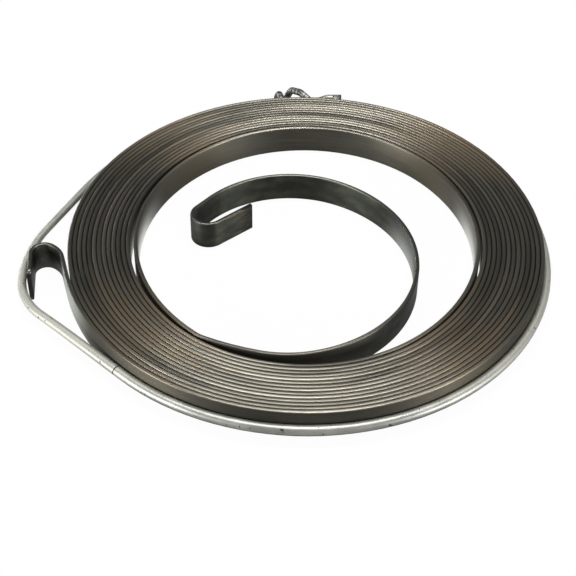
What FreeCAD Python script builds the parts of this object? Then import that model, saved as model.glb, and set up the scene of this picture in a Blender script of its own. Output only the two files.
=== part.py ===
import FreeCAD, Part
import math
import os

# A flat spiral spring wound into a tight pack, held closed by a tie wire.
# The strip runs anticlockwise inwards when seen from above.
# The origin is the middle of the coil, in the plane that the strip's lower edges rest on.

SIZES = [
    ("strip_width", 5.0),
    ("strip_thickness", 0.6),
    ("turn_clearance", 0.1267),
    ("coil_radius", 38.229),
    ("coil_turns", 13),
    ("coil_ovality", 0.5602),
    ("ovality_growth", 0.02327),
    ("coil_lead_angle", 221.145),
    ("lead_in_ease", 2.741),
    ("lead_in_sweep", 23.55),
    ("lead_in_length", 5.39),
    ("outer_eye_radius", 2.84),
    ("outer_eye_sweep", 110.0),
    ("outer_corner_radius", 0.9),
    ("outer_corner_sweep", 58.0),
    ("outer_leg_length", 5.68),
    ("last_turn_slack", 0.15),
    ("tail_lift_ease", 1.943),
    ("tail_lift_sweep", 9.25),
    ("tail_kink_radius", 6.24),
    ("tail_kink_sweep", 15.6),
    ("tail_entry_ease", 12.123),
    ("tail_entry_sweep", 11.7),
    ("tail_shoulder_inset", 12.777),
    ("tail_shoulder_sweep", 26.7),
    ("tail_bow_inset", 8.467),
    ("tail_bow_sweep", 142.0),
    ("tail_return_inset", 12.457),
    ("tail_return_sweep", 75.0),
    ("inner_back_length", 3.3),
    ("inner_eye_radius", 2.59),
    ("inner_eye_sweep", 170.2),
    ("inner_leg_length", 6.04),
    ("wire_diameter", 1.25),
    ("wire_flats", 10),
    ("wire_height", 2.04),
    ("wire_clearance", 0.03),
    ("wire_join_turn", 7.355),
    ("wire_eye_radius", 12.67),
    ("wire_side_radius", 24.5),
    ("wire_side_turn", 42.5),
    ("wire_bulge_turn", 118.5),
    ("wire_bulge_ease", 4.8755),
    ("knot_turn", 17.0),
    ("knot_pitch", 1.45),
    ("arch_rise", 3.9),
    ("arch_reach", 3.4),
    ("cut_end_reach", 7.7),
    ("cut_end_rise", 2.3),
]


def heading_vector(angle):
    """Unit vector in the plan for a heading in degrees."""
    a = math.radians(angle)
    return FreeCAD.Vector(math.cos(a), math.sin(a), 0)


def left_vector(angle):
    """Unit vector to the left of a heading."""
    return heading_vector(angle + 90)


class Chain:
    """A plan curve of straight runs and tangent arcs, walked from a start point."""

    def __init__(self, start, heading):
        self.point = start
        self.heading = heading
        self.steps = []

    def line(self, length):
        """Add a straight run."""
        end = self.point + heading_vector(self.heading) * length
        self.steps.append(("line", self.point, end, self.heading, 0.0, 0.0))
        self.point = end

    def arc(self, radius, sweep):
        """Add an arc that turns left for a positive sweep and right for a negative one."""
        side = 1 if sweep > 0 else -1
        centre = self.point + left_vector(self.heading) * (side * radius)
        turned = self.heading + sweep
        end = centre - left_vector(turned) * (side * radius)
        self.steps.append(("arc", self.point, end, self.heading, radius, sweep))
        self.point = end
        self.heading = turned

    def side(self, offset, height=0.0):
        """Edges of the curve moved to its left by the offset, in walking order."""
        edges = []
        lift = FreeCAD.Vector(0, 0, height)
        for kind, start, end, heading, radius, sweep in self.steps:
            if kind == "line":
                shift = left_vector(heading) * offset + lift
                edges.append(Part.LineSegment(start + shift, end + shift))
                continue
            sign = 1 if sweep > 0 else -1
            centre = start + left_vector(heading) * (sign * radius)
            moved = radius - sign * offset
            first = centre - left_vector(heading) * (sign * moved) + lift
            middle = centre - left_vector(heading + sweep / 2) * (sign * moved) + lift
            last = centre - left_vector(heading + sweep) * (sign * moved) + lift
            edges.append(Part.Arc(first, middle, last))
        return edges


def rounded_path(points, radius):
    """Straight runs through the points, with a tangent arc at each corner."""
    edges = []
    start = points[0]
    for before, corner, after in zip(points, points[1:], points[2:]):
        back = before - corner
        ahead = after - corner
        half = back.getAngle(ahead) / 2
        reach = min(radius / math.tan(half), 0.45 * back.Length, 0.45 * ahead.Length)
        r = reach * math.tan(half)
        back.normalize()
        ahead.normalize()
        bisector = back + ahead
        bisector.normalize()
        first = corner + back * reach
        last = corner + ahead * reach
        centre = corner + bisector * (r / math.sin(half))
        middle = centre - bisector * r
        edges.append(Part.LineSegment(start, first).toShape())
        edges.append(Part.Arc(first, middle, last).toShape())
        start = last
    edges.append(Part.LineSegment(start, points[-1]).toShape())
    return edges


def round_rod(edges, diameter, flats):
    """A rod whose middle follows the edges, with narrow flats round it and a circle's area."""
    spine = Part.Wire(edges)
    first = edges[0]
    at = first.valueAt(first.FirstParameter)
    along = first.tangentAt(first.FirstParameter)
    across = along.cross(FreeCAD.Vector(0, 0, 1)).normalize()
    swell = math.sqrt(2 * math.pi / (flats * math.sin(2 * math.pi / flats)))
    tip = across * (diameter / 2 * swell)
    corners = [at + FreeCAD.Rotation(along, 360 / flats * (i + 0.5)).multVec(tip) for i in range(flats)]
    section = Part.makePolygon(corners + corners[:1])
    return spine.makePipeShell([section], True, False)


doc = FreeCAD.newDocument("starter_spring")

sheet = doc.addObject("Spreadsheet::Sheet", "sizes")
for row, (name, value) in enumerate(SIZES, start=1):
    sheet.set("A%d" % row, name)
    sheet.set("B%d" % row, str(value))
    sheet.setAlias("B%d" % row, name)
doc.recompute()


def size(name):
    """Value of a named size in the sheet."""
    return float(sheet.get(name))


thickness = size("strip_thickness")
pitch = thickness + size("turn_clearance")
lead = size("coil_lead_angle")


def quarter_radius(index):
    """Centre-line radius of one quarter turn, front and back tighter than the sides."""
    oval = size("coil_ovality") + size("ovality_growth") * index
    side = -1 if index % 2 == 0 else 1
    return size("coil_radius") - pitch / 4 * index + side * oval


# The outermost quarter starts here, at the left of the front.
lead_point = heading_vector(lead) * (size("coil_radius") + pitch / 4)
lead_point = lead_point + left_vector(lead) * size("coil_ovality")
lead_heading = lead + 90

# The hook on the outer end, walked from the pack to the free end.
# It starts in a curve that is a little wider than the outermost quarter.
lead_in_radius = quarter_radius(0) + size("lead_in_ease")
hook = Chain(lead_point, lead_heading + 180)
hook.arc(lead_in_radius, -size("lead_in_sweep"))
hook.line(size("lead_in_length"))
hook.arc(size("outer_eye_radius"), size("outer_eye_sweep"))
hook.arc(size("outer_corner_radius"), size("outer_corner_sweep"))
hook.line(size("outer_leg_length"))

# The same hook walked the other way leads into the pack.
strip = Chain(hook.point, hook.heading + 180)
strip.line(size("outer_leg_length"))
strip.arc(size("outer_corner_radius"), -size("outer_corner_sweep"))
strip.arc(size("outer_eye_radius"), -size("outer_eye_sweep"))
strip.line(size("lead_in_length"))
strip.arc(lead_in_radius, size("lead_in_sweep"))

quarters = 4 * int(round(size("coil_turns")))
for index in range(quarters):
    strip.arc(quarter_radius(index), 90)

# The last turn has sprung a little off the pack.
for step in range(4):
    loose = size("last_turn_slack") * (step + 1 if step % 2 == 0 else (step - 1) / 2)
    inner_radius = quarter_radius(quarters + step) - loose
    strip.arc(inner_radius, 90)

# The free tail bends inwards across the middle and ends in a hook.
# Its curves are set wider or tighter than the innermost quarter, so they stay inside the pack.
strip.arc(inner_radius + size("tail_lift_ease"), size("tail_lift_sweep"))
strip.arc(size("tail_kink_radius"), size("tail_kink_sweep"))
strip.arc(inner_radius + size("tail_entry_ease"), size("tail_entry_sweep"))
strip.arc(inner_radius - size("tail_shoulder_inset"), size("tail_shoulder_sweep"))
strip.arc(inner_radius - size("tail_bow_inset"), size("tail_bow_sweep"))
strip.arc(inner_radius - size("tail_return_inset"), size("tail_return_sweep"))
strip.line(size("inner_back_length"))
strip.arc(size("inner_eye_radius"), size("inner_eye_sweep"))
strip.line(size("inner_leg_length"))

left_side = strip.side(thickness / 2)
right_side = strip.side(-thickness / 2)


def end_of(curve):
    return curve.value(curve.LastParameter)


def start_of(curve):
    return curve.value(curve.FirstParameter)


body = doc.addObject("PartDesign::Body", "spring_body")
sketch = body.newObject("Sketcher::SketchObject", "strip_section")
plane = [f for f in body.Origin.OriginFeatures if f.Role == "XY_Plane"][0]
sketch.AttachmentSupport = [(plane, "")]
sketch.MapMode = "FlatFace"
outline = list(left_side)
outline.append(Part.LineSegment(end_of(left_side[-1]), end_of(right_side[-1])))
outline.extend(right_side)
outline.append(Part.LineSegment(start_of(left_side[0]), start_of(right_side[0])))
sketch.addGeometry(outline, False)
pad = body.newObject("PartDesign::Pad", "strip_pad")
pad.Profile = sketch
pad.setExpression("Length", "sizes.strip_width")
body.Label = "spring_strip"
body.Placement = FreeCAD.Placement()

# The tie wire lies against the outermost turn and passes round the outside of the hook.
diameter = size("wire_diameter")
gap = size("wire_clearance")
wall = thickness / 2 + gap + diameter / 2
level = size("wire_height")


def quarter_centre(index):
    """Centre of one quarter turn of the pack."""
    kind, start, end, heading, radius, sweep = strip.steps[5 + index]
    return start + left_vector(heading) * radius


def beside_pack(index, angle, out=0.0, up=0.0):
    """Point on the wire's middle at an angle round one quarter turn."""
    reach = quarter_radius(index) + wall + out
    return quarter_centre(index) + heading_vector(angle) * reach + FreeCAD.Vector(0, 0, level + up)


def slide_to_clear(centre, slide, reach, obstacle):
    """How far an arc's centre slides before the arc stands outside an obstacle inside it."""
    away = centre - obstacle
    b = away.dot(slide)
    c = away.dot(away) - reach * reach
    return -b - math.sqrt(max(b * b - c, 0.0))


def flat(point):
    return FreeCAD.Vector(point.x, point.y, 0)


side_radius = size("wire_side_radius")
eye_radius = size("wire_eye_radius")
join = lead + size("wire_join_turn")
turned = join - size("wire_side_turn")

# Round the hook the wire has two arcs, placed first with their far end on the pack.
join_point = flat(beside_pack(0, join))
eye_centre = join_point - heading_vector(join) * eye_radius
side_centre = eye_centre + heading_vector(turned) * (eye_radius - side_radius)

# They slide back along the straight run until they clear the hook they hold.
slide = heading_vector(join - 90)
corner = hook.point - left_vector(hook.heading) * (thickness / 2)
corner_reach = eye_radius - diameter / 2 - gap
kind, start, end, heading, radius, sweep = hook.steps[3]
bend_centre = start + left_vector(heading) * radius
bend_reach = side_radius - diameter / 2 - gap - (radius + thickness / 2)
shift = max(
    slide_to_clear(eye_centre, slide, corner_reach, corner),
    slide_to_clear(side_centre, slide, bend_reach, bend_centre),
    diameter,
)
eye_centre = eye_centre + slide * shift
side_centre = side_centre + slide * shift

# Behind, it leaves the pack on a slightly wider arc, and a straight run touches both arcs.
knot_radius = quarter_radius(2) + wall
bulge = join - size("wire_bulge_turn")
bulge_radius = knot_radius + size("wire_bulge_ease")
bulge_centre = flat(beside_pack(2, bulge)) - heading_vector(bulge) * bulge_radius
apart = side_centre - bulge_centre
lean = math.degrees(math.acos((bulge_radius - side_radius) / apart.Length))
leave = math.degrees(math.atan2(apart.y, apart.x)) % 360 - lean
straight_run = apart.dot(heading_vector(leave + 90))

# The knot sits behind the coil and is set out along the wire from its middle.
knot = bulge - size("knot_turn")
pitch_out = size("knot_pitch")


def at_knot(along, out, up):
    """Point beside the pack, so far along the wire, out from the wall and up."""
    angle = knot - math.degrees(along / knot_radius)
    return beside_pack(2, angle, out, up)


start_along = -5.5 * pitch_out
stop_along = size("arch_reach")
start_angle = knot - math.degrees(start_along / knot_radius)
stop_angle = knot - math.degrees(stop_along / knot_radius)

loop = Chain(flat(beside_pack(2, start_angle)), start_angle + 90)
loop.arc(knot_radius, bulge - start_angle)
loop.arc(bulge_radius, leave - bulge)
loop.line(straight_run)
loop.arc(side_radius, turned - leave)
loop.arc(eye_radius, join - turned)
loop.line(shift)
loop.arc(quarter_radius(0) + wall, lead + 90 - join)
loop.arc(quarter_radius(1) + wall, 90)
loop.arc(knot_radius, stop_angle + 360 - (lead + 180))

run = 1.6 * pitch_out
cut_end = [
    at_knot(size("cut_end_reach"), pitch_out, size("cut_end_rise")),
    at_knot(size("cut_end_reach") / 2, 0.8 * pitch_out, 0.8 * size("cut_end_rise")),
    at_knot(0, 1.05 * pitch_out, 0.3 * size("cut_end_rise")),
    at_knot(-1.2 * pitch_out, pitch_out, 0.1),
    at_knot(-2.6 * pitch_out, pitch_out, 0),
    loop.steps[0][1] + FreeCAD.Vector(0, 0, level) - heading_vector(start_angle + 90) * run,
    loop.steps[0][1] + FreeCAD.Vector(0, 0, level),
]
rise = size("arch_rise")
curl = [
    loop.point + FreeCAD.Vector(0, 0, level),
    loop.point + FreeCAD.Vector(0, 0, level) + heading_vector(stop_angle + 90) * (0.7 * pitch_out),
    at_knot(0.45 * stop_along, 0, 0.65 * rise),
    at_knot(0.1 * stop_along, 0.8 * pitch_out, rise),
    at_knot(-0.8 * pitch_out, 1.9 * pitch_out, 0.8 * rise),
    at_knot(-1.5 * pitch_out, 2 * pitch_out, 0),
    at_knot(-1.6 * pitch_out, 1.9 * pitch_out, -0.9 * pitch_out),
    at_knot(-1.9 * pitch_out, 0, -0.9 * pitch_out),
    at_knot(-2.2 * pitch_out, 0, 0.65 * rise),
    at_knot(-2.4 * pitch_out, 1.7 * pitch_out, 0.65 * rise),
    at_knot(-2.6 * pitch_out, 2 * pitch_out, 0.2 * rise),
]
edges = rounded_path(cut_end, 1.6 * diameter)
edges.extend(curve.toShape() for curve in loop.side(0, level))
edges.extend(rounded_path(curl, 0.8 * diameter))
rod = round_rod(edges, diameter, int(round(size("wire_flats"))))
wire = doc.addObject("Part::Feature", "binding_wire")
wire.Shape = rod
wire.Placement = FreeCAD.Placement()
wire.Label = "binding_wire"
doc.recompute()

for obj in (body, wire):
    if "Invalid" in obj.State or "Error" in obj.State:
        raise RuntimeError("%s did not build" % obj.Label)
    if obj.Shape.isNull() or not obj.Shape.isValid() or len(obj.Shape.Solids) != 1:
        raise RuntimeError("%s is not one sound solid" % obj.Label)

os.makedirs("parts", exist_ok=True)
for obj in (body, wire):
    obj.Shape.exportStep("parts/%s.step" % obj.Label)
    box = obj.Shape.BoundBox
    print(obj.Label, round(obj.Shape.Volume, 2), box)
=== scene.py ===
# %% [markdown]
# # A recoil starter spring
# This lesson dresses a flat spiral spring, the kind that winds the rope back into a pull starter.
# The spring is one long steel strip, wound up tight and tied with soft wire for the shelf.
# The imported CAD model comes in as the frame, and every piece made here goes where it says.

import math

import bmesh
import bpy
from mathutils import Matrix, Vector


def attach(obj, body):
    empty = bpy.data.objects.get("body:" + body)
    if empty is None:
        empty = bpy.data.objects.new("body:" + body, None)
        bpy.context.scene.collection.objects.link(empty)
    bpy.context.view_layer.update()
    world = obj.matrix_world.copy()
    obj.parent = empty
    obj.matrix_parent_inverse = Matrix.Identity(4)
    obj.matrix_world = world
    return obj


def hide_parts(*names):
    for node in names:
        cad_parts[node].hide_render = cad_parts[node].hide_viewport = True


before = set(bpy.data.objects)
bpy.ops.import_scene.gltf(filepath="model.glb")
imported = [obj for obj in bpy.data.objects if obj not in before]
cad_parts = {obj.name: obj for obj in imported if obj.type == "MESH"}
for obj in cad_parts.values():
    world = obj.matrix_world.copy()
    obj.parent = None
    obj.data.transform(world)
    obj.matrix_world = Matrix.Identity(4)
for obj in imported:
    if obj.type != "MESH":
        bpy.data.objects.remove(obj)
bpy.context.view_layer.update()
mm = 0.001

# %% [markdown]
# ## Camera
# The photo looks down on the spring from the front, about 42 degrees above the table, through a long lens.
# A camera can be aimed at a point, but here its place and its turn were worked out together
# from the outline of the coil, so its three axes are written out as they came.

# %% Place the camera
coil_size = 38.5 * mm
strip_width = 5.0 * mm
camera_data = bpy.data.cameras.new("photo_camera")
camera_data.lens = 83.19
camera_data.sensor_width = 36.0
camera_data.clip_start = 0.01
camera = bpy.data.objects.new("photo_camera", camera_data)
bpy.context.scene.collection.objects.link(camera)
right_axis = Vector((0.99962684, 0.02528047, 0.01034775))
up_axis = Vector((-0.02468934, 0.67407270, 0.73825228))
back_axis = Vector((0.01168823, -0.73823227, 0.67444533))
place = Vector((0, -4.24379 * coil_size, 3.56479 * coil_size + strip_width))
turn = Matrix((right_axis, up_axis, back_axis)).transposed()
camera.matrix_world = Matrix.Translation(place) @ turn.to_4x4()
bpy.context.scene.camera = camera
print("camera is", round(place.length / mm), "mm from the coil's middle")

# %% [markdown]
# ## Shader maths as plain sums
# A material is a web of small nodes. Wrapping a socket in a class that knows plus, minus and times
# lets the sums be written as sums, and each one adds the Math node that it needs.

# %% A wrapped socket and a material writer
class Sum:
    """A number socket that builds Math nodes when it is used in a sum."""

    def __init__(self, maker, socket):
        self.maker = maker
        self.socket = socket

    def combine(self, operation, *values, clamp=False):
        settings = {"operation": operation, "use_clamp": clamp}
        inputs = {i: v for i, v in enumerate(values)}
        return self.maker.number("ShaderNodeMath", settings, inputs)

    def __add__(self, other):
        return self.combine("ADD", self, other)

    __radd__ = __add__

    def __mul__(self, other):
        return self.combine("MULTIPLY", self, other)

    __rmul__ = __mul__

    def __sub__(self, other):
        return self.combine("SUBTRACT", self, other)

    def __rsub__(self, other):
        return self.combine("SUBTRACT", other, self)

    def clipped(self):
        return self.combine("ADD", self, 0.0, clamp=True)

    def size(self):
        """The number without its sign."""
        return self.combine("ABSOLUTE", self)

    def cosine(self):
        return self.combine("COSINE", self)

    def smooth(self, low, high):
        """Rise gently from 0 at the low value to 1 at the high one."""
        settings = {"interpolation_type": "SMOOTHSTEP", "clamp": True}
        return self.maker.number(
            "ShaderNodeMapRange", settings, {"Value": self, "From Min": low, "From Max": high}
        )


class Finish:
    """Builds the nodes of one material, or of the world."""

    def __init__(self, owner):
        self.owner = owner
        owner.use_nodes = True
        self.tree = owner.node_tree
        self.tree.nodes.clear()

    def node(self, kind, settings, inputs):
        """Add any node, set it up first, then fill its sockets with values or links."""
        node = self.tree.nodes.new(kind)
        for key, value in settings.items():
            setattr(node, key, value)
        for key, value in inputs.items():
            self.fill(node.inputs[key], value)
        return node

    def fill(self, socket, value):
        """Give a socket its value, or link it to where the value comes from."""
        if isinstance(value, Sum):
            value = value.socket
        if isinstance(value, bpy.types.NodeSocket):
            self.tree.links.new(value, socket)
        else:
            socket.default_value = value

    def number(self, kind, settings, inputs, output=0):
        return Sum(self, self.node(kind, settings, inputs).outputs[output])

    def attribute(self, name):
        """A number stored on the mesh."""
        return self.number("ShaderNodeAttribute", {"attribute_name": name}, {}, "Fac")

    def vector(self, x, y, z):
        return self.node("ShaderNodeCombineXYZ", {}, {"X": x, "Y": y, "Z": z}).outputs[0]

    def noise(self, vector, scale, detail=3.0, roughness=0.5):
        inputs = {"Vector": vector, "Scale": scale, "Detail": detail, "Roughness": roughness}
        return self.number("ShaderNodeTexNoise", {}, inputs, "Fac")

    def mix(self, factor, first, second):
        """Blend two colours."""
        first, second = ((*c, 1) if isinstance(c, tuple) else c for c in (first, second))
        inputs = {0: factor, 6: first, 7: second}
        return self.node("ShaderNodeMix", {"data_type": "RGBA"}, inputs).outputs[2]

    def finish(self, shader, output="ShaderNodeOutputMaterial"):
        self.node(output, {}, {"Surface": shader})
        return self.owner


print("material writer ready")

# %% [markdown]
# ## Walking the strip
# The real strip has no corner anywhere: it only bends, tightly in the hooks and slowly in the pack.
# So its middle line can be walked from one end to the other as straight runs and arcs, where each step
# says how far to go, or how tight and how far to turn. A spiral formula would be shorter, but could not
# bend the hooks. The points of the walk are enough, as the section is swept along them later.

# %% A walker for straight runs and arcs
class Walk:
    """Points along straight runs and arcs that meet smoothly, in metres, seen from above."""

    def __init__(self, start, heading):
        self.points = [Vector((start[0], start[1], 0))]
        self.heading = heading

    def line(self, length):
        way = Vector((math.cos(math.radians(self.heading)), math.sin(math.radians(self.heading)), 0))
        first = self.points[-1]
        parts = max(1, round(length / (2.0 * mm)))
        self.points += [first + way * (length * (i + 1) / parts) for i in range(parts)]

    def arc(self, radius, sweep, fine=3.0):
        """Turn left for a positive sweep and right for a negative one."""
        side = 1 if sweep > 0 else -1
        a = math.radians(self.heading + 90 * side)
        centre = self.points[-1] + Vector((math.cos(a), math.sin(a), 0)) * radius
        parts = max(2, round(abs(sweep) / fine))
        for i in range(parts):
            b = math.radians(self.heading - 90 * side + sweep * (i + 1) / parts)
            self.points.append(centre + Vector((math.cos(b), math.sin(b), 0)) * radius)
        self.heading += sweep


print("walker ready")

# %% The sizes of the coil
# They are the same as the CAD model's. The visual strip gets a little more on each wide face.
thickness = 0.6 * mm
face_extra = 0.03 * mm
pitch = 0.7267 * mm
coil_radius = 38.229 * mm
coil_turns = 13
coil_ovality = 0.5602 * mm
ovality_growth = 0.02327 * mm
lead_angle = 221.145
last_slack = 0.15 * mm


def ahead(angle):
    """A unit step in a direction on the table."""
    return Vector((math.cos(math.radians(angle)), math.sin(math.radians(angle)), 0))


def quarter_radius(index):
    """Radius of one quarter turn: the front and back are tighter than the sides."""
    oval = coil_ovality + ovality_growth * index
    return coil_radius - pitch / 4 * index + (-oval if index % 2 == 0 else oval)


lead_point = ahead(lead_angle) * (coil_radius + pitch / 4) + ahead(lead_angle + 90) * coil_ovality
print("the pack starts at", [round(v / mm, 2) for v in lead_point[:2]], "mm")

# %% [markdown]
# ## The outer hook, the pack and the tail
# Outside, the strip leaves the pack and turns back in a hook that catches on the starter's housing.
# Inside, it runs on as a loose tail that ends in a smaller hook. The walk could start at either end,
# but the pack is what the CAD model fixes, so it starts there. The outer hook is walked outwards from
# the pack, and its points are put first, in reverse.
# The pack is thirteen even turns, each of four quarters, and one turn that is a little slacker.

# %% Walk the outer hook
lead_radius, lead_sweep, lead_run = 39.89 * mm, -23.76, 4.63 * mm
opening_radius, opening_sweep = 4.5 * mm, 43.4
bend_radius, bend_sweep, hook_leg = 2.01 * mm, 126.4, 5.64 * mm

hook = Walk(lead_point, lead_angle - 90)
hook.arc(lead_radius, lead_sweep)
hook.line(lead_run)
hook.arc(opening_radius, opening_sweep, fine=4)
hook.arc(bend_radius, bend_sweep, fine=7)
hook.line(hook_leg)
hook_end = hook.points[-1]
hook_heading = hook.heading
print("outer hook ends at", [round(v / mm, 2) for v in hook_end[:2]], "mm")

# %% Walk the pack and the tail
# Each of the tail's arcs has a radius in mm, a sweep in degrees and the sweep of one step.
tail_arcs = (
    (31.87, 9.25, 3.0),
    (6.24, 15.6, 3.0),
    (42.05, 11.7, 3.0),
    (17.15, 26.7, 3.0),
    (21.46, 142.0, 1.5),
    (17.47, 75.0, 1.5),
)
inner_run, inner_bend_radius, inner_bend_sweep, inner_leg = 3.3 * mm, 2.59 * mm, 170.2, 6.9 * mm

strip = Walk(lead_point, lead_angle + 90)
strip.points = list(reversed(hook.points))
quarter_starts = []
for index in range(4 * coil_turns):
    quarter_starts.append(strip.points[-1])
    strip.arc(quarter_radius(index), 90)
for step in range(4):
    slack = last_slack * (step + 1 if step % 2 == 0 else (step - 1) / 2)
    strip.arc(quarter_radius(4 * coil_turns + step) - slack, 90)
tail_start = len(strip.points)
for radius, sweep, fine in tail_arcs:
    strip.arc(radius * mm, sweep, fine)
strip.line(inner_run)
strip.arc(inner_bend_radius, inner_bend_sweep, fine=6)
strip.line(inner_leg)
steps = [(b - a).length for a, b in zip(strip.points, strip.points[1:])]
strip_length, tail_length = sum(steps), sum(steps[tail_start:])
print("strip:", len(strip.points), "points,", round(strip_length / mm), "mm long")

# %% [markdown]
# ## Geometry Nodes for a swept section
# The strip and the wire are both a section carried along a line, which is what Curve to Mesh does.
# A curve's own bevel could do the same for the wire, but not lift the turns or mark the length.
# A tree with named inputs keeps the width, the thickness and the rounding of the edges in one place.

# %% A helper that writes trees of geometry nodes
class Growth:
    """Builds one tree of geometry nodes with named inputs."""

    def __init__(self, name, inputs):
        self.tree = bpy.data.node_groups.new(name, "GeometryNodeTree")
        self.tree.interface.new_socket("Geometry", in_out="INPUT", socket_type="NodeSocketGeometry")
        for label, kind in inputs.items():
            self.tree.interface.new_socket(label, in_out="INPUT", socket_type="NodeSocket" + kind)
        self.tree.interface.new_socket("Geometry", in_out="OUTPUT", socket_type="NodeSocketGeometry")
        self.start = self.tree.nodes.new("NodeGroupInput").outputs
        self.end = self.tree.nodes.new("NodeGroupOutput").inputs

    def node(self, kind, settings, inputs):
        node = self.tree.nodes.new(kind)
        for key, value in settings.items():
            setattr(node, key, value)
        for key, value in inputs.items():
            if isinstance(value, bpy.types.NodeSocket):
                self.tree.links.new(value, node.inputs[key])
            else:
                node.inputs[key].default_value = value
        return node.outputs

    def link(self, output, target):
        self.tree.links.new(output, target)

    def put_on(self, piece, values):
        """Add the tree to a piece as a modifier and set its inputs by their identifiers."""
        modifier = piece.modifiers.new(self.tree.name, "NODES")
        modifier.node_group = self.tree
        for item in self.tree.interface.items_tree:
            if item.in_out == "INPUT" and item.name in values:
                modifier[item.identifier] = values[item.name]


def line_object(name, points):
    """A curve object whose one poly line runs through the points."""
    curve = bpy.data.curves.new(name, "CURVE")
    curve.dimensions = "3D"
    spline = curve.splines.new("POLY")
    spline.points.add(len(points) - 1)
    for knot, point in zip(spline.points, points):
        knot.co = (*point, 1)
    piece = bpy.data.objects.new(name, curve)
    bpy.context.scene.collection.objects.link(piece)
    return piece


def grown_mesh(source, name):
    """The evaluated result as a plain mesh object, with the source removed."""
    graph = bpy.context.evaluated_depsgraph_get()
    mesh = bpy.data.meshes.new_from_object(source.evaluated_get(graph), depsgraph=graph)
    mesh.name = name
    piece = bpy.data.objects.new(name, mesh)
    bpy.context.scene.collection.objects.link(piece)
    bpy.data.objects.remove(source)
    return piece


print("tree writer ready")

# %% [markdown]
# ## The finish of the strip
# Hardened spring steel is nearly black on its flat faces. The two narrow edges are a little brighter, with
# warm painted highlights at four places round the coil and painted shade at the two sides. Past the bend of
# the outer hook a stretch carries a pale painted reflection, and the tail is darker. That is how they look in
# the photo.
# An image could be wrapped round it, but here the colour follows the length along the strip,
# which the mesh carries as an attribute, so each stretch of the one long strip has its own look.

# %% Where a point is on the strip
middle_height = 2.6 * mm
tail_begin = strip_length - tail_length
print("the tail begins", round(tail_begin / mm), "mm along the strip")


def steel_places(f):
    """The places and the masks that the wall and the rim both use."""
    place = f.node("ShaderNodeTexCoord", {}, {}).outputs["Object"]
    split = f.node("ShaderNodeSeparateXYZ", {}, {"Vector": place}).outputs
    across, away, height = (Sum(f, socket) for socket in split)
    along = f.attribute("along")
    bearing = f.number("ShaderNodeMath", {"operation": "ARCTAN2"}, {0: away, 1: across})
    # The warm painted highlights at four places round the coil are stronger on some turns than on others.
    lobes = (bearing * 4).cosine() * -0.5 + 0.5
    by_turn = f.noise(f.vector(along * 22, 3, 0), 1.0, 2)
    return {
        "across": across,
        "away": away,
        "height": height,
        "along": along,
        "bearing": bearing,
        "edge": (height - middle_height).size().smooth(2.31 * mm, 2.48 * mm),
        "warm": (lobes * 0.45 + by_turn * 1.1).smooth(0.75, 1.15),
        "grain": f.noise(f.vector(along * 60, height * 2500, 0), 1.0, 4),
        "tail": along.smooth(tail_begin + 10 * mm, tail_begin + 40 * mm),
    }


# %% [markdown]
# ## The wide faces
# The faces are dark and a little cloudy, with fine rolling lines. Three low patches are painted pale,
# where the photo most likely shows the white ground mirrored at a low angle. A truer way is to let the
# shader mirror a white ground, but this shader and table show it too weakly. So the patches are a
# reflection painted on, and they stay where they are from every side.

# %% Colour of the wide faces
def steel_wall(f, at):
    across, away, height, along = at["across"], at["away"], at["height"], at["along"]
    cloud = f.noise(f.vector(along * 70, height * 150, 7), 1.0, 3)
    wall = f.mix(cloud.smooth(0.35, 0.7), (0.088, 0.086, 0.073), (0.126, 0.120, 0.099))
    # Warm painted highlights at four places reach the faces too.
    wall = f.mix(at["warm"] * 0.8, wall, (0.185, 0.157, 0.108))
    wall = f.mix(at["grain"].smooth(0.52, 0.72) * 0.4, wall, (0.25, 0.21, 0.135))
    # Past the bend of the outer hook a pale painted reflection lies on the strip for a stretch.
    pale_end = along.smooth(13 * mm, 17 * mm) - along.smooth(19 * mm, 31 * mm)
    wall = f.mix(pale_end, wall, (0.80, 0.83, 0.78))
    # The innermost turn has a pale painted reflection low down at its two sides.
    reach = f.number("ShaderNodeVectorMath", {"operation": "LENGTH"}, {0: f.vector(across, away, 0)}, "Value")
    inmost = 1.0 - reach.smooth(28.7 * mm, 29.1 * mm)
    beside = 1.0 - away.size().smooth(4 * mm, 13 * mm)
    low = 1.0 - height.smooth(0.5 * mm, 4.8 * mm)
    wall = f.mix(across.size().smooth(18 * mm, 24 * mm) * inmost * beside * low, wall, (0.85, 0.86, 0.82))
    # The tail and the bend of the outer hook are darker.
    stain = f.noise(f.vector(along * 260, height * 500, 11), 1.0, 4).smooth(0.35, 0.75)
    dark = f.mix(stain, (0.042, 0.046, 0.038), (0.090, 0.088, 0.070))
    wall = f.mix((at["tail"] + 1.0 - along.smooth(10 * mm, 15 * mm)).clipped(), wall, dark)
    # The tail's far side has a pale painted reflection low down too.
    far_side = across.smooth(12 * mm, 17 * mm) * (1.0 - reach.smooth(23 * mm, 24 * mm))
    pale_side = far_side * at["tail"] * (1.0 - away.size().smooth(2 * mm, 10 * mm))
    wall = f.mix(pale_side * (1.0 - height.smooth(0.5 * mm, 5.0 * mm) * 0.8), wall, (0.52, 0.54, 0.50))
    # The last flat of the inner hook has rusty scratches.
    streaks = f.noise(f.vector(along * 260, height * 3200, 5), 1.0, 2).smooth(0.60, 0.68)
    end_flat = along.smooth(strip_length - 7.2 * mm, strip_length - 6.2 * mm)
    return f.mix(streaks * end_flat * 0.7, wall, (0.24, 0.14, 0.085))


print("colour of the wide faces ready")
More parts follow.
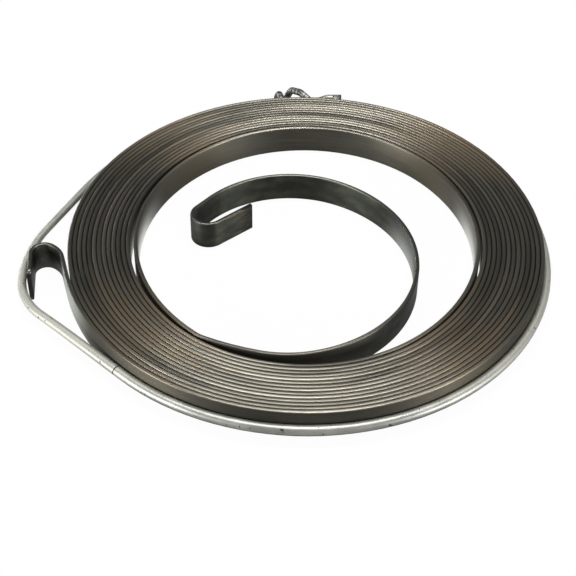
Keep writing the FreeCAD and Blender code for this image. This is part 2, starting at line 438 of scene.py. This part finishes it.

# %% [markdown]
# ## The narrow edges and the whole finish
# The rubbed edges are what the eye follows round the coil. They are brighter than the faces, some turns more
# than others, with warm painted highlights at four places, and darker and even at the two sides, which is
# painted shade. Rolling leaves fine lines along the strip, so the shader is anisotropic and draws its
# reflections out across them.

# %% Colour of the narrow edges
def steel_rim(f, at):
    along, bearing = at["along"], at["bearing"]
    rubbed = f.noise(f.vector(along * 17, 9, 0), 1.0, 3)
    rim = f.mix(rubbed.smooth(0.40, 0.60), (0.080, 0.075, 0.062), (0.42, 0.392, 0.325))
    # The edges at the two sides are painted darker, as painted shade.
    sides = (bearing * 2).cosine() * 0.5 + 0.5
    rim = f.mix(sides * 0.75, rim, (0.160, 0.155, 0.132))
    # Warm painted highlights at four places.
    rim = f.mix(at["warm"], rim, (0.355, 0.290, 0.207))
    by_hook = 1.0 - along.smooth(12 * mm, 30 * mm)
    return f.mix((at["tail"] + by_hook).clipped() * 0.85, rim, (0.150, 0.150, 0.132))


print("colour of the narrow edges ready")


# %% Spring steel
def spring_steel():
    f = Finish(bpy.data.materials.new("spring_steel"))
    at = steel_places(f)
    colour = f.mix(at["edge"], steel_wall(f, at), steel_rim(f, at))
    # The sheared end of the hook is painted nearly black, as painted shade over its bright corner.
    colour = f.mix(1.0 - at["along"].smooth(0.05 * mm, 0.5 * mm), colour, (0.03, 0.03, 0.026))
    rough = 0.46 + at["grain"] * 0.1 - at["edge"] * 0.13
    bump_inputs = {"Strength": 0.08, "Distance": 0.02 * mm, "Height": at["grain"]}
    bump = f.node("ShaderNodeBump", {}, bump_inputs)
    brushed = {"Anisotropic": 0.7, "Anisotropic Rotation": 0.25}
    shader = f.node(
        "ShaderNodeBsdfPrincipled",
        {},
        {"Base Color": colour, "Metallic": 0.9, "Roughness": rough, "Normal": bump.outputs[0], **brushed},
    )
    return f.finish(shader.outputs[0])


steel = spring_steel()
print("made", steel.name)

# %% [markdown]
# ## Sweeping the strip
# The section is a thin rectangle with rounded edges. A slow wave lifts the turns by up to a fifth
# of a millimetre, because a wound coil is never quite level.

# %% A tree that sweeps the strip
sweep = Growth(
    "strip_sweep",
    {
        "Width": "Float",
        "Thickness": "Float",
        "Edge radius": "Float",
        "Unevenness": "Float",
        "Seed": "Float",
        "Material": "Material",
    },
)
length = sweep.node("GeometryNodeSplineParameter", {}, {})["Length"]
marked = sweep.node(
    "GeometryNodeStoreNamedAttribute",
    {"data_type": "FLOAT", "domain": "POINT"},
    {"Geometry": sweep.start["Geometry"], "Name": "along", "Value": length},
)["Geometry"]
tilt = sweep.node(
    "ShaderNodeCombineXYZ", {}, {"X": length, "Y": sweep.start["Seed"], "Z": 0.0}
)["Vector"]
wave = sweep.node("ShaderNodeTexNoise", {}, {"Vector": tilt, "Scale": 9.0, "Detail": 1.0})[0]
lift = sweep.node(
    "ShaderNodeMath", {"operation": "MULTIPLY"}, {0: wave, 1: sweep.start["Unevenness"]}
)[0]
offset = sweep.node("ShaderNodeCombineXYZ", {}, {"Z": lift})["Vector"]
lifted = sweep.node("GeometryNodeSetPosition", {}, {"Geometry": marked, "Offset": offset})["Geometry"]
upright = sweep.node("GeometryNodeSetCurveNormal", {"mode": "Z_UP"}, {"Curve": lifted})["Curve"]
section = sweep.node(
    "GeometryNodeCurvePrimitiveQuadrilateral",
    {"mode": "RECTANGLE"},
    {"Width": sweep.start["Thickness"], "Height": sweep.start["Width"]},
)["Curve"]
rounded = sweep.node(
    "GeometryNodeFilletCurve",
    {"mode": "POLY"},
    {"Curve": section, "Count": 4, "Radius": sweep.start["Edge radius"]},
)["Curve"]
swept = sweep.node(
    "GeometryNodeCurveToMesh", {}, {"Curve": upright, "Profile Curve": rounded, "Fill Caps": True}
)["Mesh"]
painted = sweep.node(
    "GeometryNodeSetMaterial", {}, {"Geometry": swept, "Material": sweep.start["Material"]}
)["Geometry"]
whole = sweep.node("GeometryNodeRealizeInstances", {}, {"Geometry": painted})["Geometry"]
sweep.link(whole, sweep.end["Geometry"])
print("strip's tree has", len(sweep.tree.nodes), "nodes")

# %% Sweep the strip
strip_line = line_object("strip_line", [p + Vector((0, 0, strip_width / 2)) for p in strip.points])
sweep.put_on(
    strip_line,
    {
        "Width": strip_width,
        "Thickness": thickness + 2 * face_extra,
        "Edge radius": 0.24 * mm,
        "Unevenness": 0.2 * mm,
        "Seed": 4.0,
        "Material": steel,
    },
)
spring = grown_mesh(strip_line, "spring_strip_rolled")
print("strip mesh has", len(spring.data.polygons), "faces")


# %% [markdown]
# ## Closing the strip's mesh
# The real strip is solid steel, so its mesh should have no open edge. A swept mesh can have doubled
# points and faces that point inwards, so both are mended, and the open edges are counted. Smooth
# shading alone would make the flat faces look bulged, and picking sharp edges by hand takes long.
# Weighted normals follow the widest faces, so the flats stay flat and the rounded edges look round.

# %% Close the strip's mesh
def close_and_weight(piece):
    """Merge doubles, turn the faces outwards and keep the wide faces looking flat."""
    mesh = piece.data
    work = bmesh.new()
    work.from_mesh(mesh)
    bmesh.ops.remove_doubles(work, verts=work.verts, dist=0.001 * mm)
    bmesh.ops.recalc_face_normals(work, faces=work.faces)
    loose = sum(1 for e in work.edges if not e.is_manifold)
    work.to_mesh(mesh)
    work.free()
    for face in mesh.polygons:
        face.use_smooth = True
    weights = piece.modifiers.new("weights", "WEIGHTED_NORMAL")
    weights.mode = "FACE_AREA"
    graph = bpy.context.evaluated_depsgraph_get()
    finished = bpy.data.meshes.new_from_object(piece.evaluated_get(graph), depsgraph=graph)
    piece.modifiers.clear()
    piece.data = finished
    print(piece.name, "has", loose, "open edges and", len(finished.polygons), "faces")


close_and_weight(spring)
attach(spring, "root")
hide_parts("spring_strip")

# %% [markdown]
# ## The tie wire
# Soft zinc coated wire goes once round the pack and round the outside of the hook, so the hook cannot
# spring open. It presses on the outermost turn, and leaves it only where the hook stands out.
# Behind the coil one end runs on a little and is cut off, and the other arches up and curls round it.
# A plain ring would be quicker, but it would not follow the oval pack or go round the hook. Two arcs
# carry the wire round the hook, and their place is worked out from the corner of the hook's end.

# %% Work out the wire's way round
wire_diameter = 1.25 * mm
wire_level = 2.04 * mm
wall = thickness / 2 + face_extra + wire_diameter / 2
join, leave, bulge, knot = 228.5, 157.0, 110.0, 93.0
side_radius, side_sweep, eye_radius = 24.5 * mm, 29.0, 12.67 * mm


def beside_pack(index, angle, out=0.0, up=0.0):
    """A point on the wire's middle, beside one quarter turn of the pack."""
    start = quarter_starts[index]
    centre = start - ahead(lead_angle + 90 * index) * quarter_radius(index)
    reach = quarter_radius(index) + wall + out
    return centre + ahead(angle) * reach + Vector((0, 0, wire_level + up))


def flat(point):
    return Vector((point.x, point.y, 0))


join_point = flat(beside_pack(0, join))
eye_centre = join_point - ahead(join) * eye_radius
side_centre = eye_centre + ahead(leave + side_sweep) * (eye_radius - side_radius)
slide = ahead(join - 90)
corner = hook_end - ahead(hook_heading + 90) * (thickness / 2)
apart = eye_centre - corner
reach = eye_radius - wire_diameter / 2 - face_extra
along_slide = apart.dot(slide)
shift = -along_slide - math.sqrt(max(along_slide ** 2 - apart.dot(apart) + reach ** 2, 0.0))
shift = max(shift, wire_diameter)
side_centre += slide * shift
leave_point = side_centre + ahead(leave) * side_radius
bulge_point = flat(beside_pack(2, bulge))
spread = (leave_point - bulge_point).dot(ahead(leave))
bulge_radius = spread / (1 - math.cos(math.radians(leave - bulge)))
print("run past the hook:", round(shift / mm, 2), "mm, wide arc:", round(bulge_radius / mm, 1), "mm")

# %% [markdown]
# ## Walking the wire
# The wire lies against the outermost turn, so it is walked with the same arcs, set further out by
# half the strip and half the wire. Only parts of the knot are seen behind the coil, so the way
# between them is a guess. A curve with smooth handles could join its points, but it overshoots at
# tight bends, so straight runs with a small arc at each corner are used.

# %% Walk the wire round
knot_radius = quarter_radius(2) + wall
knot_pitch = 1.45 * mm


def at_knot(along, out, up):
    """A point beside the pack, so far along the wire, out from the wall and up."""
    return beside_pack(2, knot - math.degrees(along / knot_radius), out, up)


start_angle = knot + math.degrees(5.5 * knot_pitch / knot_radius)
stop_angle = knot - math.degrees(3.9 * mm / knot_radius)
loop = Walk(flat(beside_pack(2, start_angle)), start_angle + 90)
loop.arc(knot_radius, bulge - start_angle)
loop.arc(bulge_radius, leave - bulge)
loop.line((leave_point - loop.points[-1]).dot(ahead(leave + 90)))
loop.arc(side_radius, side_sweep)
loop.arc(eye_radius, join - leave - side_sweep)
loop.line(shift)
loop.arc(quarter_radius(0) + wall, lead_angle + 90 - join)
loop.arc(quarter_radius(1) + wall, 90)
loop.arc(knot_radius, stop_angle + 360 - (lead_angle + 180))
ring = [p + Vector((0, 0, wire_level)) for p in loop.points]
print("ring:", len(ring), "points")


# %% A way with rounded corners
def rounded_way(points, radius):
    """Straight runs through the points, with a small arc at each corner."""
    way = [points[0]]
    for before, corner, after in zip(points, points[1:], points[2:]):
        back, on = before - corner, after - corner
        half = back.angle(on) / 2
        reach = min(radius / math.tan(half), 0.45 * back.length, 0.45 * on.length)
        r = reach * math.tan(half)
        first, last = corner + back.normalized() * reach, corner + on.normalized() * reach
        centre = corner + (back.normalized() + on.normalized()).normalized() * (r / math.sin(half))
        for i in range(7):
            between = (first - centre).lerp(last - centre, i / 6)
            way.append(centre + between.normalized() * r)
    way.append(points[-1])
    return way


print("rounded ways ready")

# %% The knot and the whole wire
run = ahead(start_angle + 90) * (1.6 * knot_pitch)
cut_end = [
    at_knot(7.6 * mm, knot_pitch, 1.78 * mm),
    at_knot(5.2 * mm, 0.9 * knot_pitch, 1.62 * mm),
    at_knot(3.7 * mm, 0.8 * knot_pitch, 1.0 * mm),
    at_knot(0, 1.05 * knot_pitch, 0.55 * mm),
    at_knot(-1.2 * knot_pitch, knot_pitch, 0.1 * mm),
    at_knot(-2.6 * knot_pitch, knot_pitch, 0),
    ring[0] - run,
    ring[0],
]
rise = 2.75 * mm
curl = [
    ring[-1],
    ring[-1] + ahead(stop_angle + 90) * (0.7 * knot_pitch),
    at_knot(2.1 * mm, 0, 0.62 * rise),
    at_knot(0.34 * mm, 0.8 * knot_pitch, rise),
    at_knot(-0.8 * knot_pitch, 1.9 * knot_pitch, 0.8 * rise),
    at_knot(-1.5 * knot_pitch, 2 * knot_pitch, 0),
    at_knot(-1.6 * knot_pitch, 1.9 * knot_pitch, -0.9 * knot_pitch),
    at_knot(-1.9 * knot_pitch, 0, -0.9 * knot_pitch),
    at_knot(-2.05 * knot_pitch, 0, 0.65 * rise),
    at_knot(-2.25 * knot_pitch, 1.7 * knot_pitch, 0.65 * rise),
    at_knot(-2.45 * knot_pitch, 2 * knot_pitch, 0.2 * rise),
]
way = rounded_way(cut_end, 2.0 * mm)[:-1] + ring + rounded_way(curl, 1.0 * mm)[1:]
print("wire:", len(way), "points")
beside = min((Vector((p.x, p.y, 0)) - q).length for p in way for q in strip.points[:40])
print("wire's middle is", round(beside / mm, 2), "mm from the strip's middle at the hook")

# %% [markdown]
# ## The finish of the wire
# Zinc coated wire is pale and a little patchy, with dark specks. One even grey would look like plastic, and
# an image would need a map along the wire, so noise in the piece's own space makes the patches. The marks
# that the photo shows are put in place one by one. The dark lower edge at the front is painted shade, and the
# paler sides carry a painted reflection. Where another comment says that a part is darker, that is what the
# photo shows, and its cause isn't known.

# %% A nick in the wire
nick_place = (-27.3 * mm, -29.4 * mm, 2.4 * mm)
along_wire = (0.73, -0.68, 0.0)


def nick_mask(f, place):
    """1 on a short dark line across the wire, and 0 elsewhere."""
    from_nick = f.node("ShaderNodeVectorMath", {"operation": "SUBTRACT"}, {0: place, 1: nick_place})
    from_nick = from_nick.outputs[0]
    lengthwise = f.number(
        "ShaderNodeVectorMath", {"operation": "DOT_PRODUCT"}, {0: from_nick, 1: along_wire}, "Value"
    )
    apart = f.number("ShaderNodeVectorMath", {"operation": "LENGTH"}, {0: from_nick}, "Value")
    line = 1.0 - lengthwise.size().smooth(0.05 * mm, 0.14 * mm)
    return line * (1.0 - apart.smooth(1.2 * mm, 2.0 * mm))


print("nick is at", [round(v / mm, 1) for v in nick_place], "mm")


# %% Zinc
def zinc_wire():
    f = Finish(bpy.data.materials.new("zinc_wire"))
    place = f.node("ShaderNodeTexCoord", {}, {}).outputs["Object"]
    along = f.attribute("along")
    blotch = f.noise(place, 260, 4)
    fine = f.noise(place, 2200, 3)
    speck = f.noise(place, 1500, 1).smooth(0.71, 0.75)
    dull = f.noise(f.vector(along * 45, 5, 0), 1.0, 3)
    pale = f.mix(blotch.smooth(0.35, 0.7), (0.36, 0.365, 0.335), (0.49, 0.49, 0.45))
    # The lower edge at the front is darkened with painted shade.
    split = f.node("ShaderNodeSeparateXYZ", {}, {"Vector": place}).outputs
    across, away, height = (Sum(f, socket) for socket in split)
    painted_lower_shade = (1.0 - height.smooth(1.98 * mm, 2.3 * mm)) * (1.0 - away.smooth(-34 * mm, -20 * mm))
    # At the sides the wire is duller, and paler with a painted reflection.
    side_reflection_and_dullness = across.size().smooth(14 * mm, 36 * mm)
    side_reflection_and_dullness = side_reflection_and_dullness * (1.0 - away.smooth(-8 * mm, 14 * mm) * 0.8)
    pale = f.mix(side_reflection_and_dullness, pale, (0.52, 0.52, 0.465))
    pale = f.mix(fine.smooth(0.58, 0.78) * 0.5, pale, (0.24, 0.24, 0.22))
    # The knot has dark marks, and the cut end is dark.
    nick = nick_mask(f, place)
    curl = away.smooth(38.6 * mm, 39.2 * mm) * along.smooth(100 * mm, 110 * mm)
    cut = 1.0 - along.smooth(0.1 * mm, 0.5 * mm)
    ridges = f.noise(f.vector(along * 1400, 3, 0), 1.0, 2).smooth(0.42, 0.56) * curl
    # The dark marks and the painted shade on the lower edge share one dark colour.
    marks_and_painted_shade = (speck + nick + ridges * 0.85 + painted_lower_shade * 0.8 + cut * 0.8).clipped()
    colour = f.mix(marks_and_painted_shade, pale, (0.035, 0.035, 0.032))
    rough = 0.34 + blotch * 0.12 + dull * 0.08 + side_reflection_and_dullness * 0.14
    height = blotch - ridges * 1.5 - nick * 2.0
    bump = f.node("ShaderNodeBump", {}, {"Strength": 0.3, "Distance": 0.04 * mm, "Height": height})
    shader = f.node(
        "ShaderNodeBsdfPrincipled",
        {},
        {"Base Color": colour, "Metallic": 0.75, "Roughness": rough, "Normal": bump.outputs[0]},
    )
    return f.finish(shader.outputs[0])


zinc = zinc_wire()
print("made", zinc.name)

# %% [markdown]
# ## Sweeping the wire
# Drawn wire has one thickness, but in the photo this one measures thicker at the front. The cause
# isn't known, so the section simply swells there, and the wire moves outwards and up as it does.
# A plain bevel can't swell by place, but in a tree the section's scale is a sum like any other.

# %% Sums for the wire's tree
swell_begins, swell_full = 5 * mm, -38 * mm
stand_off_begins, stand_off_full = -36 * mm, -43 * mm
outward_share, upward_share = 0.8, 1.8
drawn = Growth(
    "wire_sweep", {"Diameter": "Float", "Swell": "Float", "Stand off": "Float", "Material": "Material"}
)


def part(operation, first, second):
    """One sum inside the tree."""
    return drawn.node("ShaderNodeMath", {"operation": operation}, {0: first, 1: second})[0]


def gentle(value, none_at, full_at):
    """Rise gently from 0 at one value to 1 at the other."""
    return drawn.node(
        "ShaderNodeMapRange",
        {"interpolation_type": "SMOOTHSTEP"},
        {"Value": value, "From Min": none_at, "From Max": full_at},
    )["Result"]


print("wire's tree has", len(drawn.start) - 1, "inputs")

# %% A tree that sweeps the wire
length = drawn.node("GeometryNodeSplineParameter", {}, {})["Length"]
marked = drawn.node(
    "GeometryNodeStoreNamedAttribute",
    {"data_type": "FLOAT", "domain": "POINT"},
    {"Geometry": drawn.start["Geometry"], "Name": "along", "Value": length},
)["Geometry"]
spot = drawn.node("GeometryNodeInputPosition", {}, {})["Position"]
split = drawn.node("ShaderNodeSeparateXYZ", {}, {"Vector": spot})
level_spot = drawn.node("ShaderNodeCombineXYZ", {}, {"X": split["X"], "Y": split["Y"]})["Vector"]
outward = drawn.node("ShaderNodeVectorMath", {"operation": "NORMALIZE"}, {0: level_spot})["Vector"]
extra = part("MULTIPLY", gentle(split["Y"], swell_begins, swell_full), drawn.start["Swell"])
by_hook = gentle(split["X"], stand_off_begins, stand_off_full)
stand_off = part("MULTIPLY", by_hook, drawn.start["Stand off"])
push = part("ADD", part("MULTIPLY", extra, outward_share), stand_off)
pushed = drawn.node("ShaderNodeVectorMath", {"operation": "SCALE"}, {0: outward, "Scale": push})["Vector"]
raised = drawn.node("ShaderNodeCombineXYZ", {}, {"Z": part("MULTIPLY", extra, upward_share)})["Vector"]
offset = drawn.node("ShaderNodeVectorMath", {"operation": "ADD"}, {0: pushed, 1: raised})["Vector"]
moved = drawn.node("GeometryNodeSetPosition", {}, {"Geometry": marked, "Offset": offset})["Geometry"]
radius = part("ADD", part("MULTIPLY", drawn.start["Diameter"], 0.5), extra)
circle = drawn.node("GeometryNodeCurvePrimitiveCircle", {"mode": "RADIUS"}, {"Resolution": 20, "Radius": 1.0})
swept = drawn.node(
    "GeometryNodeCurveToMesh",
    {},
    {"Curve": moved, "Profile Curve": circle["Curve"], "Scale": radius, "Fill Caps": True},
)["Mesh"]
painted = drawn.node(
    "GeometryNodeSetMaterial", {}, {"Geometry": swept, "Material": drawn.start["Material"]}
)["Geometry"]
whole = drawn.node("GeometryNodeRealizeInstances", {}, {"Geometry": painted})["Geometry"]
drawn.link(whole, drawn.end["Geometry"])
print("wire's tree has", len(drawn.tree.nodes), "nodes")

# %% Sweep the wire
wire_line = line_object("wire_line", way)
drawn.put_on(
    wire_line,
    {"Diameter": wire_diameter, "Swell": 0.18 * mm, "Stand off": 0.2 * mm, "Material": zinc},
)
wire = grown_mesh(wire_line, "tie_wire")
close_and_weight(wire)
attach(wire, "root")
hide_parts("binding_wire")

# %% [markdown]
# ## The table
# The photo has a plain white ground. A matt floor is only as white as its light, and more light would
# bleach the zinc, so the floor glows white for the camera, with a little lit floor left for a shadow.
# In reflections it is grey, with three brighter pools: with a white ground and a white room these finishes
# came out too bright. This fits one photo, and a real white room doesn't do it.
# For that, set the tones to 1.0, show the white world to reflections too, and darken the finishes.

# %% Floor
inside_tone, outside_tone = (0.45, 0.45, 0.45), (0.22, 0.22, 0.22)
glow_share = 0.97
# Each pool has its middle, its size and its tone. Two are inside the coil and one is by the hook.
pools = (
    ((27 * mm, 6 * mm, 0), 20 * mm, (1.0, 1.0, 0.98)),
    ((-27 * mm, -1 * mm, 0), 11 * mm, (1.0, 1.0, 0.98)),
    ((-49 * mm, -14 * mm, 0), 26 * mm, (0.75, 0.77, 0.75)),
)


def white_floor():
    f = Finish(bpy.data.materials.new("white_floor"))
    path = f.node("ShaderNodeLightPath", {}, {}).outputs
    seen = Sum(f, path["Is Camera Ray"]) + Sum(f, path["Is Glossy Ray"])
    place = f.node("ShaderNodeTexCoord", {}, {}).outputs["Object"]
    reach = f.number("ShaderNodeVectorMath", {"operation": "LENGTH"}, {0: place}, "Value")
    table = f.mix(reach.smooth(30 * mm, 38 * mm), inside_tone, outside_tone)
    for pool, size, tone in pools:
        apart = f.number("ShaderNodeVectorMath", {"operation": "DISTANCE"}, {0: place, 1: pool}, "Value")
        table = f.mix(1.0 - apart.smooth(size * 0.4, size), table, tone)
    tone = f.mix(Sum(f, path["Is Camera Ray"]), table, (1.0, 1.0, 1.0))
    matt = f.node("ShaderNodeBsdfDiffuse", {}, {"Color": (0.8, 0.8, 0.8, 1)})
    glow = f.node("ShaderNodeEmission", {}, {"Color": tone, "Strength": 1.0})
    share = seen.clipped() * glow_share
    mix = f.node("ShaderNodeMixShader", {}, {0: share, 1: matt.outputs[0], 2: glow.outputs[0]})
    return f.finish(mix.outputs[0])


def flat_piece(name, corners, order, finish):
    """One face with four corners."""
    mesh = bpy.data.meshes.new(name)
    mesh.from_pydata(corners, [], [order])
    mesh.materials.append(finish)
    piece = bpy.data.objects.new(name, mesh)
    bpy.context.scene.collection.objects.link(piece)
    return piece


half = 3.0
floor_corners = [(-half, -half, 0), (half, -half, 0), (half, half, 0), (-half, half, 0)]
floor = flat_piece("floor", floor_corners, (0, 1, 2, 3), white_floor())
print("floor is", floor.dimensions.x, "m wide")

# %% [markdown]
# ## The room and the lamps
# The photo shows soft light on white. The world here is white to the camera and a weak fill to
# all else, reflections too. A soft lamp overhead draws the bright lines on the strip's edges, a box at
# each side lights the walls, and a low strip behind lights the far wall. Point lamps would be simpler,
# but metal shows the shape of its lamps, and wide soft ones draw broad, even lines.

# %% World
fill_strength = 0.11
white = (1, 1, 1, 1)


def white_room():
    f = Finish(bpy.data.worlds.new("studio"))
    seen = f.node("ShaderNodeLightPath", {}, {}).outputs["Is Camera Ray"]
    fill = f.node("ShaderNodeBackground", {}, {"Color": white, "Strength": fill_strength})
    backdrop = f.node("ShaderNodeBackground", {}, {"Color": white, "Strength": 1.0})
    mix = f.node("ShaderNodeMixShader", {}, {0: seen, 1: fill.outputs[0], 2: backdrop.outputs[0]})
    return f.finish(mix.outputs[0], "ShaderNodeOutputWorld")


bpy.context.scene.world = white_room()
print("world is", bpy.context.scene.world.name)


# %% Lamps
def soft_lamp(name, size, power, place, aim=(0, 0, 0)):
    """A rectangular lamp that faces a point, with sizes in metres and its power in watts."""
    light = bpy.data.lights.new(name, "AREA")
    light.shape = "RECTANGLE"
    light.size, light.size_y = size
    light.energy = power
    lamp = bpy.data.objects.new(name, light)
    lamp.location = place
    lamp.rotation_euler = (Vector(aim) - Vector(place)).to_track_quat("-Z", "Y").to_euler()
    bpy.context.scene.collection.objects.link(lamp)
    print(name, "lamp:", power, "W")


box_aim = (0, 0, 0.05)
soft_lamp("overhead", size=(0.34, 0.12), power=1.65, place=(0, 0.03, 0.42))
soft_lamp("right_box", size=(0.14, 0.18), power=1.5, place=(0.43, -0.25, 0.10), aim=box_aim)
soft_lamp("left_box", size=(0.18, 0.18), power=2.15, place=(-0.43, -0.25, 0.10), aim=box_aim)
soft_lamp("left_back_strip", size=(0.30, 0.03), power=0.6, place=(-0.36, 0.36, 0.016), aim=(0, 0, 0.016))

# %% [markdown]
# ## The dark card
# A photographer can hold up a dark card to put a dark reflection in metal. This one stands behind the
# camera, clear to the camera itself, and is meant to darken the walls that face it. Turning the lamps
# down would darken the bright edges as well.

# %% Card
def card_finish():
    """Dark grey card that the camera itself looks through."""
    f = Finish(bpy.data.materials.new("dark_card"))
    seen = f.node("ShaderNodeLightPath", {}, {}).outputs["Is Camera Ray"]
    matt = f.node("ShaderNodeBsdfDiffuse", {}, {"Color": (0.12, 0.12, 0.12, 1)})
    clear = f.node("ShaderNodeBsdfTransparent", {}, {})
    mix = f.node("ShaderNodeMixShader", {}, {0: seen, 1: matt.outputs[0], 2: clear.outputs[0]})
    return f.finish(mix.outputs[0])


half, low, high, behind = 0.40, 0.05, 0.80, -0.55
card_corners = [(-half, behind, low), (half, behind, low), (half, behind, high), (-half, behind, high)]
card = flat_piece("dark_card", card_corners, (3, 2, 1, 0), card_finish())
bpy.context.scene.view_settings.view_transform = "Standard"
print("card is", round(card.dimensions.x, 2), "m wide")
